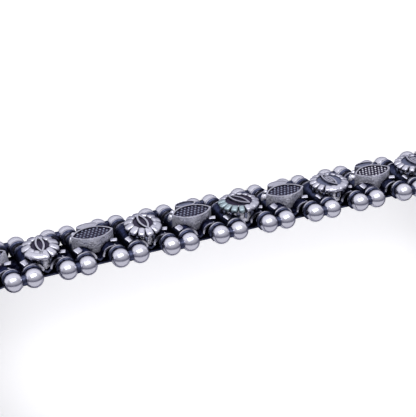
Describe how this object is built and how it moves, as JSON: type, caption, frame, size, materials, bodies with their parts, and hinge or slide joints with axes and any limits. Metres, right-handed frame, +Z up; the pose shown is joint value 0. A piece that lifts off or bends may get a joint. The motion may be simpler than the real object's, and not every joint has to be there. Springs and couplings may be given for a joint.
{
  "type": "chain bracelet",
  "caption": "Closed chain bracelet: raised flower and leaf links hinged on pairs of ball-ended cross pins, with a plain clasp, standing on its edge.",
  "frame": {"origin": "centre of the loop's outline, on the surface that the lower row of balls stands on", "axes": "+Z up along the pins, from the lower row of balls to the upper; +X along the straight run; motifs of the straight run face -Y"},
  "size_m": [0.073, 0.0506, 0.011],
  "materials": {
    "ball_silver": "polished silver, dark in the joints",
    "flower_silver": "oxidised silver with worn bright petals",
    "leaf_silver": "oxidised silver with a bright rim",
    "plain_silver": "plain satin silver"
  },
  "bodies": {
    "root": {"flower_link_01": "flower_silver", "pin_link_01": "ball_silver", "leaf_link_02": "leaf_silver", "pin_link_02": "ball_silver", "flower_link_03": "flower_silver", "pin_link_03": "ball_silver", "leaf_link_04": "leaf_silver", "pin_link_04": "ball_silver", "flower_link_05": "flower_silver", "pin_link_05": "ball_silver", "leaf_link_06": "leaf_silver", "pin_link_06": "ball_silver", "flower_link_07": "flower_silver", "pin_link_07": "ball_silver", "leaf_link_08": "leaf_silver", "pin_link_08": "ball_silver", "flower_link_09": "flower_silver", "pin_link_09": "ball_silver", "leaf_link_10": "leaf_silver", "pin_link_10": "ball_silver", "flower_link_11": "flower_silver", "pin_link_11": "ball_silver", "leaf_link_12": "leaf_silver", "pin_link_12": "ball_silver", "flower_link_13": "flower_silver", "pin_link_13": "ball_silver", "leaf_link_14": "leaf_silver", "pin_link_14": "ball_silver", "flower_link_15": "flower_silver", "pin_link_15": "ball_silver", "leaf_link_16": "leaf_silver", "pin_link_16": "ball_silver", "flower_link_17": "flower_silver", "pin_link_17": "ball_silver", "leaf_link_18": "leaf_silver", "pin_link_18": "ball_silver", "flower_link_19": "flower_silver", "pin_link_19": "ball_silver", "leaf_link_20": "leaf_silver", "pin_link_20": "ball_silver", "clasp": "plain_silver", "pin_link_21": "ball_silver", "leaf_link_22": "leaf_silver", "pin_link_22": "ball_silver", "flower_link_23": "flower_silver", "pin_link_23": "ball_silver", "leaf_link_24": "leaf_silver", "pin_link_24": "ball_silver", "flower_link_25": "flower_silver", "pin_link_25": "ball_silver", "leaf_link_26": "leaf_silver", "pin_link_26": "ball_silver", "flower_link_27": "flower_silver", "pin_link_27": "ball_silver", "leaf_link_28": "leaf_silver", "pin_link_28": "ball_silver", "flower_link_29": "flower_silver", "pin_link_29": "ball_silver", "leaf_link_30": "leaf_silver", "pin_link_30": "ball_silver"}
  },
  "joints": []
}
